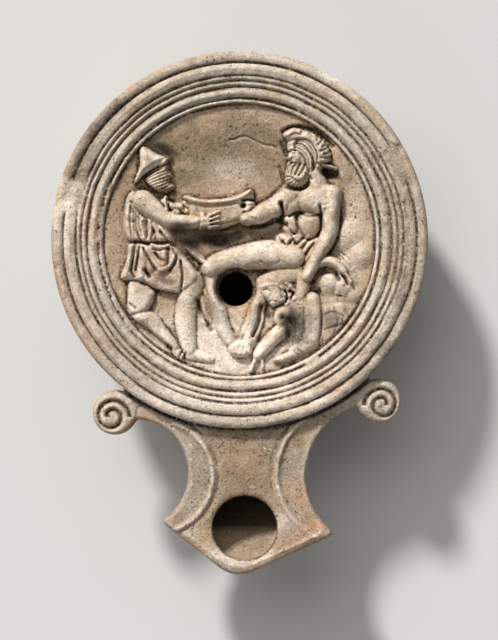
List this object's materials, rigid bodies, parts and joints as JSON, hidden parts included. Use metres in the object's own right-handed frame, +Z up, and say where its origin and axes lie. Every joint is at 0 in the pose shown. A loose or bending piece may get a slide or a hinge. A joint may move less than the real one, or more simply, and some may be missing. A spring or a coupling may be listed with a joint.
{
  "type": "roman oil lamp",
  "caption": "Hollow mould-made clay oil lamp with a round body, a relief scene on its disc, ring mouldings, two volutes and an angular nozzle.",
  "frame": {"origin": "middle of the flat base, under the middle of the round body", "axes": "+Z up through the disc, -Y towards the nozzle, +X to the right as the disc is seen from above"},
  "size_m": [0.08, 0.1114, 0.0266],
  "materials": {
    "clay": "matt"
  },
  "bodies": {
    "root": {"lamp_body": "clay"}
  },
  "joints": []
}
